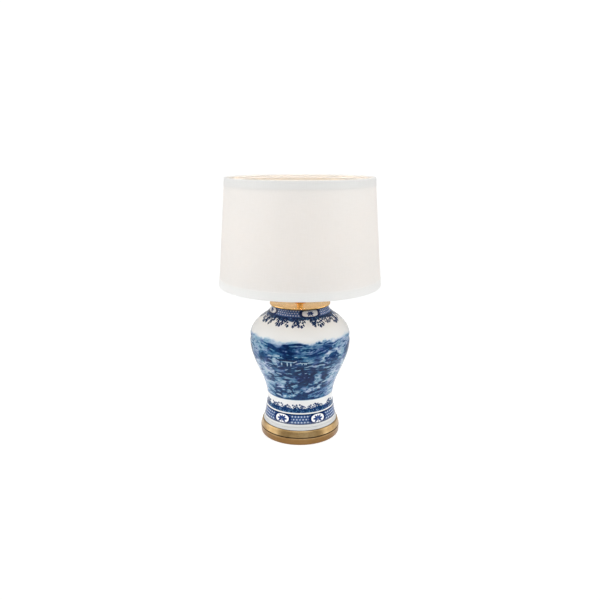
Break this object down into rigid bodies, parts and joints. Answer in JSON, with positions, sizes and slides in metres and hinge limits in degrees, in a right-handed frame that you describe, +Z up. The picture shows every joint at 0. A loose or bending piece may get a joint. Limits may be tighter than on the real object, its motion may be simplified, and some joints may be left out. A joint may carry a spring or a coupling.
{
  "type": "table lamp",
  "caption": "Table lamp: blue and white glazed jar on a two-tier brass base, with a tapered white fabric drum shade on a screw lampholder.",
  "frame": {"origin": "centre of the underside, on the surface that the lamp stands on", "axes": "+Z up, -Y the front, +Y the back where the cord leaves, +X to the right"},
  "size_m": [0.3999, 0.4, 0.65],
  "materials": {
    "felt": "pressed wool felt",
    "antique_brass": "brushed, lacquered over a light patina",
    "polished_brass": "polished",
    "bronze_plastic": "moulded, fine texture",
    "zinc_steel": "bright zinc plate",
    "gasket_rubber": "moulded",
    "glazed_jar": "glossy clear glaze over a blue underglaze print",
    "holder_plastic": "moulded thermoset, satin",
    "porcelain": "glazed steatite",
    "contact_brass": "stamped",
    "switch_bakelite": "moulded phenolic",
    "white_enamel": "white powder coat on steel wire",
    "shade_liner": "translucent laminate",
    "shade_cotton": "plain-woven cotton, bleached white",
    "opal_glass": "opal white",
    "bulb_metal": "rolled screw cap",
    "bulb_black_glass": "vitrified insulator",
    "stem_glass": "clear",
    "phosphor": "silicone-coated filament strip"
  },
  "bodies": {
    "lamp": {"felt_pad": "felt", "base_foot": "antique_brass", "base_step": "antique_brass", "cord_bush": "bronze_plastic", "clamp_nut": "zinc_steel", "clamp_washer": "zinc_steel", "threaded_rod": "zinc_steel", "jar_gasket": "gasket_rubber", "jar": "glazed_jar", "cap_gasket": "gasket_rubber", "neck_cap": "polished_brass", "seat_ring": "polished_brass", "riser_tube": "polished_brass", "holder_cup": "polished_brass", "grub_screw": "zinc_steel", "holder_skirt": "holder_plastic", "holder_insert": "porcelain", "screw_shell": "contact_brass", "centre_contact": "contact_brass", "contact_rivet": "zinc_steel", "terminal_screws": "contact_brass", "switch_bush": "polished_brass"},
    "switch": {"switch_spindle": "zinc_steel", "switch_key": "switch_bakelite"},
    "lower_ring": {"lower_ring": "holder_plastic"},
    "shade": {"frame_ring": "white_enamel", "frame_arms": "white_enamel", "bottom_wire": "white_enamel", "top_wire": "white_enamel", "shade_liner": "shade_liner", "shade_fabric": "shade_cotton", "top_tape": "shade_cotton", "bottom_tape": "shade_cotton", "shade_seam": "shade_cotton"},
    "upper_ring": {"upper_ring": "holder_plastic"},
    "bulb": {"bulb_glass": "opal_glass", "bulb_cap": "bulb_metal", "bulb_insulator": "bulb_black_glass", "bulb_contact": "bulb_metal", "bulb_stem": "stem_glass", "bulb_filaments": "phosphor"}
  },
  "joints": [
    {"name": "shade_turn", "type": "hinge", "parent": "lamp", "child": "lower_ring", "pos_m": [0, 0, 0.437], "axis": [0, 0, 1], "continuous": true},
    {"name": "shade_lift", "type": "slide", "parent": "lower_ring", "child": "shade", "axis": [0, 0, 1], "range_m": [0, 0.16]},
    {"name": "collar_turn", "type": "hinge", "parent": "shade", "child": "upper_ring", "pos_m": [0, 0, 0.445], "axis": [0, 0, 1], "continuous": true},
    {"name": "bulb_lift", "type": "slide", "parent": "lamp", "child": "bulb", "axis": [0, 0, 1], "range_m": [0, 0.22]},
    {"name": "switch_turn", "type": "hinge", "parent": "lamp", "child": "switch", "pos_m": [0.03, 0, 0.409], "axis": [1, 0, 0], "continuous": true}
  ]
}
